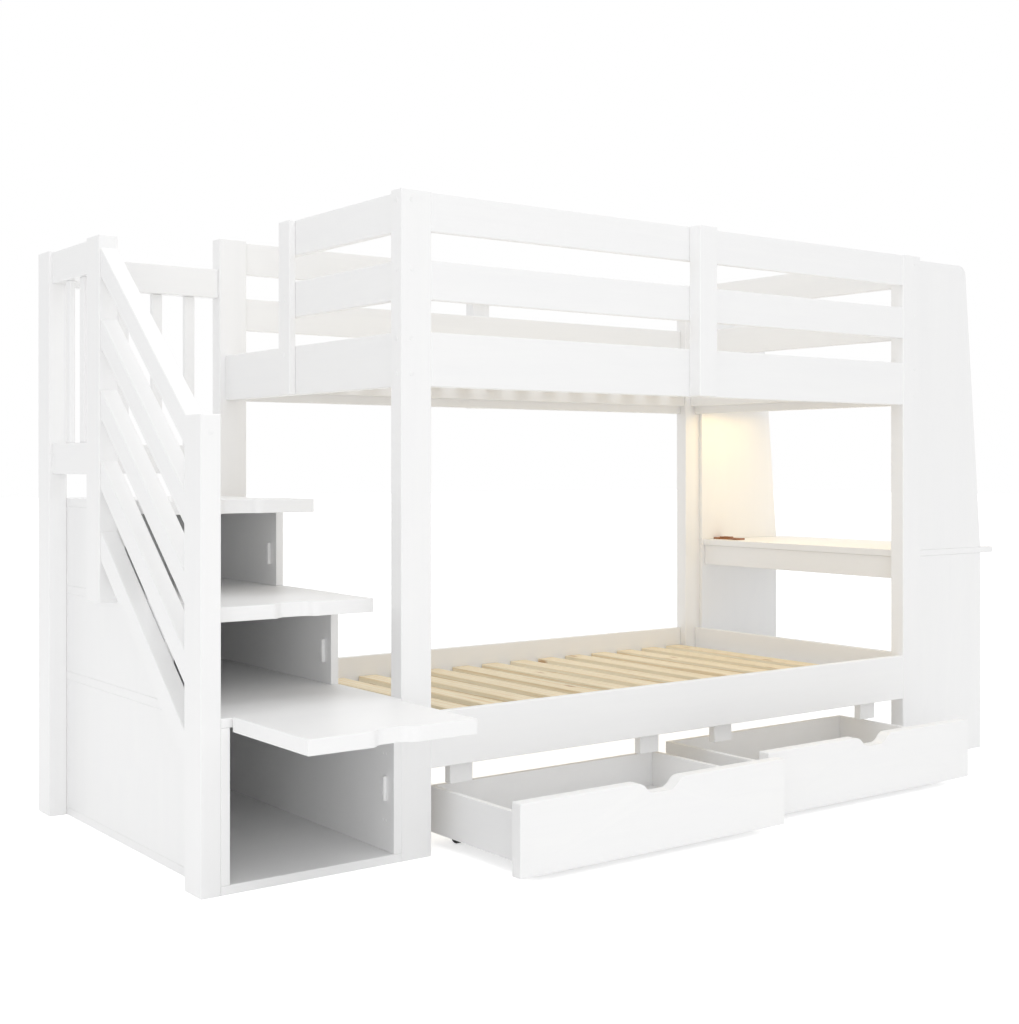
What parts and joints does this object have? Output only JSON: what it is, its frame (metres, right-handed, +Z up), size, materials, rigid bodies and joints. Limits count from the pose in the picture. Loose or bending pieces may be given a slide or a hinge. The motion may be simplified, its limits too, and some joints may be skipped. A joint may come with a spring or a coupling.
{
  "type": "bunk bed with storage stairs",
  "caption": "White twin bunk bed with guarded storage stairs, flap-door cubbies, roll-out drawers and an end desk with shelf and lamp.",
  "frame": {"origin": "centre of the floor area under the whole part, with flaps open and drawers out as in the picture", "axes": "+X from the stairs to the desk, +Y from the drawer side to the back, +Z up"},
  "size_m": [2.99, 1.459, 1.65],
  "materials": {
    "white_paint": "white satin paint",
    "pine": "bare planed pine",
    "zinc_steel": "zinc plated",
    "wheel_rubber": "matte black",
    "outlet_plastic": "dark brown plastic",
    "lamp_metal": "white coated aluminium",
    "diffuser": "warm glowing diffuser",
    "cap_plastic": "white plastic"
  },
  "bodies": {
    "root": {"back_posts": "white_paint", "bolt_caps": "cap_plastic", "desk_apron": "white_paint", "desk_lower_panels": "white_paint", "desk_shelf": "white_paint", "desk_top": "white_paint", "desk_upper_panels": "white_paint", "diagonal_rails": "white_paint", "drawer_stops": "white_paint", "entry_post": "white_paint", "flap_catches": "cap_plastic", "flap_hinge_pins": "zinc_steel", "flap_hinge_seats": "zinc_steel", "front_posts": "white_paint", "guard_balusters": "white_paint", "lamp_diffuser": "diffuser", "lamp_housing": "lamp_metal", "landing_board": "white_paint", "landing_guard_rails": "white_paint", "left_end_guard_rails": "white_paint", "long_guard_rails": "white_paint", "lower_end_rails": "white_paint", "lower_side_rails": "white_paint", "lower_slats": "pine", "mid_posts": "white_paint", "newel_back": "white_paint", "newel_front": "white_paint", "newel_middle": "white_paint", "outlet_body": "outlet_plastic", "outlet_socket": "outlet_plastic", "right_end_guard_rails": "white_paint", "side_guard_rails": "white_paint", "slat_cleats": "white_paint", "stair_back_panel": "white_paint", "stair_base_board": "white_paint", "stair_side_panels": "white_paint", "tread_lower": "white_paint", "tread_middle": "white_paint", "upper_end_boards": "white_paint", "upper_side_boards": "white_paint", "upper_slats": "pine"},
    "drawer_left": {"drawer_left_front": "white_paint", "drawer_left_walls": "white_paint", "drawer_left_bottom": "white_paint", "drawer_left_casters": "zinc_steel"},
    "drawer_left_wheels_front": {"drawer_left_front_wheels": "wheel_rubber"},
    "drawer_left_wheels_back": {"drawer_left_back_wheels": "wheel_rubber"},
    "drawer_right": {"drawer_right_front": "white_paint", "drawer_right_walls": "white_paint", "drawer_right_bottom": "white_paint", "drawer_right_casters": "zinc_steel"},
    "drawer_right_wheels_front": {"drawer_right_front_wheels": "wheel_rubber"},
    "drawer_right_wheels_back": {"drawer_right_back_wheels": "wheel_rubber"},
    "flap_lower": {"flap_lower": "white_paint", "flap_lower_hinge_arms": "zinc_steel"},
    "flap_middle": {"flap_middle": "white_paint", "flap_middle_hinge_arms": "zinc_steel"},
    "flap_top": {"flap_top": "white_paint", "flap_top_hinge_arms": "zinc_steel"}
  },
  "joints": [
    {"name": "drawer_left_slide", "type": "slide", "parent": "root", "child": "drawer_left", "axis": [0, -1, 0], "range_m": [-0.358, 0.1]},
    {"name": "drawer_left_wheels_front_turn", "type": "hinge", "parent": "drawer_left", "child": "drawer_left_wheels_front", "pos_m": [-0.425, -0.6435, 0.02], "axis": [1, 0, 0], "range_deg": [-1100, 600]},
    {"name": "drawer_left_wheels_back_turn", "type": "hinge", "parent": "drawer_left", "child": "drawer_left_wheels_back", "pos_m": [-0.425, -0.3075, 0.02], "axis": [1, 0, 0], "range_deg": [-1100, 600]},
    {"name": "drawer_right_slide", "type": "slide", "parent": "root", "child": "drawer_right", "axis": [0, -1, 0], "range_m": [-0.279, 0.179]},
    {"name": "drawer_right_wheels_front_turn", "type": "hinge", "parent": "drawer_right", "child": "drawer_right_wheels_front", "pos_m": [0.475, -0.5645, 0.02], "axis": [1, 0, 0], "range_deg": [-1100, 600]},
    {"name": "drawer_right_wheels_back_turn", "type": "hinge", "parent": "drawer_right", "child": "drawer_right_wheels_back", "pos_m": [0.475, -0.2285, 0.02], "axis": [1, 0, 0], "range_deg": [-1100, 600]},
    {"name": "flap_lower_hinge", "type": "hinge", "parent": "root", "child": "flap_lower", "pos_m": [-1.205, -0.3642, 0.3893], "axis": [1, 0, 0], "range_deg": [0, 90]},
    {"name": "flap_middle_hinge", "type": "hinge", "parent": "root", "child": "flap_middle", "pos_m": [-1.205, -0.0587, 0.6273], "axis": [1, 0, 0], "range_deg": [0, 90]},
    {"name": "flap_top_hinge", "type": "hinge", "parent": "root", "child": "flap_top", "pos_m": [-1.205, 0.2448, 0.8683], "axis": [1, 0, 0], "range_deg": [0, 90]}
  ],
  "couplings": [
    {"joint": "drawer_left_wheels_front_turn", "follows": "drawer_left_slide", "rad_per_m": 50},
    {"joint": "drawer_left_wheels_back_turn", "follows": "drawer_left_slide", "rad_per_m": 50},
    {"joint": "drawer_right_wheels_front_turn", "follows": "drawer_right_slide", "rad_per_m": 50},
    {"joint": "drawer_right_wheels_back_turn", "follows": "drawer_right_slide", "rad_per_m": 50}
  ]
}
